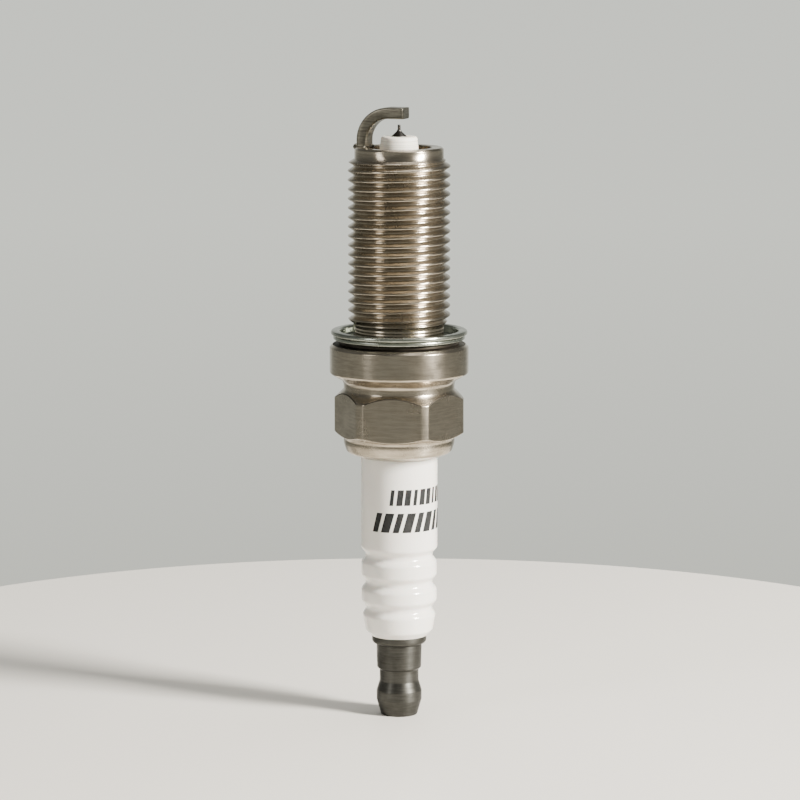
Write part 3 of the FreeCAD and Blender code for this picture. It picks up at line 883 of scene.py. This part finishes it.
for piece, body, node, slot in (
    (shell, "plug", "metal_shell", "nickel_plated_steel"),
    (gasket, "gasket", "seat_gasket", "zinc_plated_steel"),
    (insulator, "plug", "insulator", "glazed_alumina"),
    (dress(make_cone(), wire_metal), "plug", "center_electrode", "nickel_alloy"),
    (dress(make_wire(), wire_metal), "plug", "fine_wire_tip", "precious_wire"),
    (dress(make_strap(), strap_metal), "plug", "ground_electrode", "nickel_alloy"),
    (dress(make_weld(), strap_metal), "plug", "ground_electrode", "nickel_alloy"),
    (dress(make_stud(), dark_metal), "plug", "terminal_stud", "dark_steel"),
    (dress(make_nut(), dark_metal), "terminal_nut", "terminal_nut", "dark_steel"),
):
    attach(piece, body)
    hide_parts(node)
marks = dress(make_print(), ink)
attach(marks, "plug")

for node, material in (
    ("center_electrode_core", copper),
    ("lower_glass_seal", seal_glass),
    ("upper_glass_seal", seal_glass),
    ("resistor", resistor_mass),
    ("seat_packing", bare_steel),
    ("lower_packing_ring", bare_steel),
    ("upper_packing_ring", bare_steel),
    ("talc_ring", talc),
):
    dress(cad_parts[node], material)


# ---------------------------------------------------------------- table, light and camera

def make_table():
    """A round pale table top, and nothing else under it."""
    reach, drop, back = 98.6, 12.0, 13.0
    outline = rounded([(0, 0, 0), (0, -drop, 0), (reach, -drop, 0.5), (reach, 0, 0.6)])
    table = dress(turned("table_top", outline, 256), table_paint())
    table.location.y = back * MM


def make_world():
    """A soft grey room, palest at the horizon and dark overhead. It is brightest behind the plug, so
    the background is pale while the plug's sides stay darker."""
    bands = (
        (0.40, (0.74, 0.75, 0.675)),
        (0.45, (0.93, 0.95, 0.86)),
        (0.52, (0.88, 0.90, 0.83)),
        (0.72, (0.38, 0.39, 0.37)),
    )
    world = bpy.data.worlds.new("room")
    bpy.context.scene.world = world
    world.use_nodes = True
    tree = world.node_tree
    shade = tree.nodes["Background"]
    where = tree.nodes.new("ShaderNodeTexCoord")
    split = tree.nodes.new("ShaderNodeSeparateXYZ")
    tree.links.new(where.outputs["Generated"], split.inputs[0])
    colours = tree.nodes.new("ShaderNodeValToRGB")
    stops = colours.color_ramp.elements
    for level, colour in bands:
        stops.new(level).color = (*colour, 1)
    stops.remove(stops[0])
    stops.remove(stops[-1])
    tree.links.new(spread(tree, split.outputs["Z"], 0, 1, -1, 1), colours.inputs["Fac"])
    tree.links.new(colours.outputs["Color"], shade.inputs["Color"])
    tree.links.new(spread(tree, split.outputs["Y"], 0.40, 1.0, 0.80, 0.96), shade.inputs["Strength"])


def area_light(name, azimuth, elevation, size, power, colour):
    """A rectangular soft box aimed at the plug; azimuth is measured from +X towards +Y."""
    distance = 0.60
    target = Vector((0, 0, 0.045))
    light = bpy.data.lights.new(name, "AREA")
    light.shape = "RECTANGLE"
    light.size, light.size_y = size
    light.energy = power
    light.color = colour
    a, e = math.radians(azimuth), math.radians(elevation)
    towards = Vector((math.cos(a) * math.cos(e), math.sin(a) * math.cos(e), math.sin(e)))
    obj = bpy.data.objects.new(name, light)
    obj.location = target + distance * towards
    obj.rotation_euler = (-towards).to_track_quat("-Z", "Y").to_euler()
    bpy.context.scene.collection.objects.link(obj)


def make_camera():
    """A long lens in front of the plug, looking slightly down."""
    reach, height, aim = 0.500, 0.1185, 0.0433
    view_width = 0.1080643  # how wide the picture is at the plug
    camera = bpy.data.cameras.new("camera")
    camera.sensor_width = 36
    camera.lens = camera.sensor_width * math.hypot(reach, height - aim) / view_width
    camera.clip_start = 0.01
    obj = bpy.data.objects.new("camera", camera)
    obj.location = (0, -reach, height)
    target = Vector((0.00012, 0, aim))
    obj.rotation_euler = (target - obj.location).to_track_quat("-Z", "Y").to_euler()
    bpy.context.scene.collection.objects.link(obj)
    bpy.context.scene.camera = obj


make_table()
make_world()
area_light("key", -29, 26, (0.12, 0.24), 19.0, (1.0, 0.96, 0.89))
area_light("fill", -143, 22, (0.14, 0.44), 0.9, (1.0, 0.97, 0.93))
area_light("top", 60, 75, (0.4, 0.4), 1.8, (1.0, 0.97, 0.93))
make_camera()
